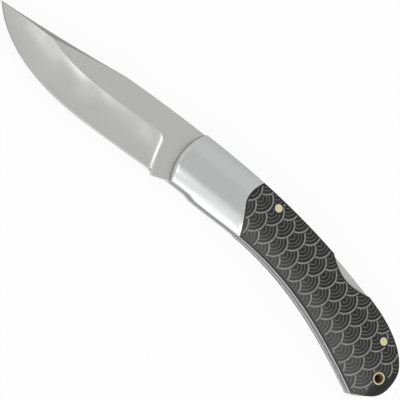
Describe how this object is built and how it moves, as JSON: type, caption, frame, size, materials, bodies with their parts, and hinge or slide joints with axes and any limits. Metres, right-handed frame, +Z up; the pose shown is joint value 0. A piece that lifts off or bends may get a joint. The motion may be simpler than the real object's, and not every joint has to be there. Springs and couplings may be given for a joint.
{
  "type": "folding pocket knife",
  "caption": "Folding pocket knife with a hollow-ground clip-point blade, polished bolsters, black engraved scales, brass pins, a lanyard tube and a rocking back lock, open.",
  "frame": {"origin": "middle of the underside of the open knife's bounding box, with the knife lying on its reverse side", "axes": "+X from the blade tip to the butt, +Y from the cutting edge to the spine, +Z up through the thickness to the show side"},
  "size_m": [0.1974, 0.0416, 0.013],
  "materials": {
    "blade_steel": "satin ground",
    "bolster_steel": "polished",
    "frame_steel": "satin",
    "spring_steel": "satin",
    "scale_black": "polished, engraved with a wave pattern",
    "pin_brass": "polished",
    "washer_bronze": "plain"
  },
  "bodies": {
    "handle": {"show_liner": "frame_steel", "reverse_liner": "frame_steel", "show_bolster": "bolster_steel", "reverse_bolster": "bolster_steel", "show_scale": "scale_black", "reverse_scale": "scale_black", "pivot_pin": "bolster_steel", "lock_bar_pin": "pin_brass", "rear_pin": "pin_brass", "lanyard_tube": "pin_brass", "lock_spring": "spring_steel", "butt_spacer": "frame_steel", "show_washer": "washer_bronze", "reverse_washer": "washer_bronze", "show_bolster_dowel": "frame_steel", "reverse_bolster_dowel": "frame_steel"},
    "blade": {"blade": "blade_steel"},
    "lock_bar": {"lock_bar": "frame_steel"}
  },
  "joints": [
    {"name": "blade_fold", "type": "hinge", "parent": "handle", "child": "blade", "pos_m": [-0.00315, 0.0081, 0.0065], "axis": [0, 0, 1], "range_deg": [0, 169]},
    {"name": "lock_rock", "type": "hinge", "parent": "handle", "child": "lock_bar", "pos_m": [0.02665, 0.0155, 0.0065], "axis": [0, 0, 1], "range_deg": [0, 1.94], "stiffness_Nm_per_rad": 0.5, "springref_deg": 1.94}
  ]
}
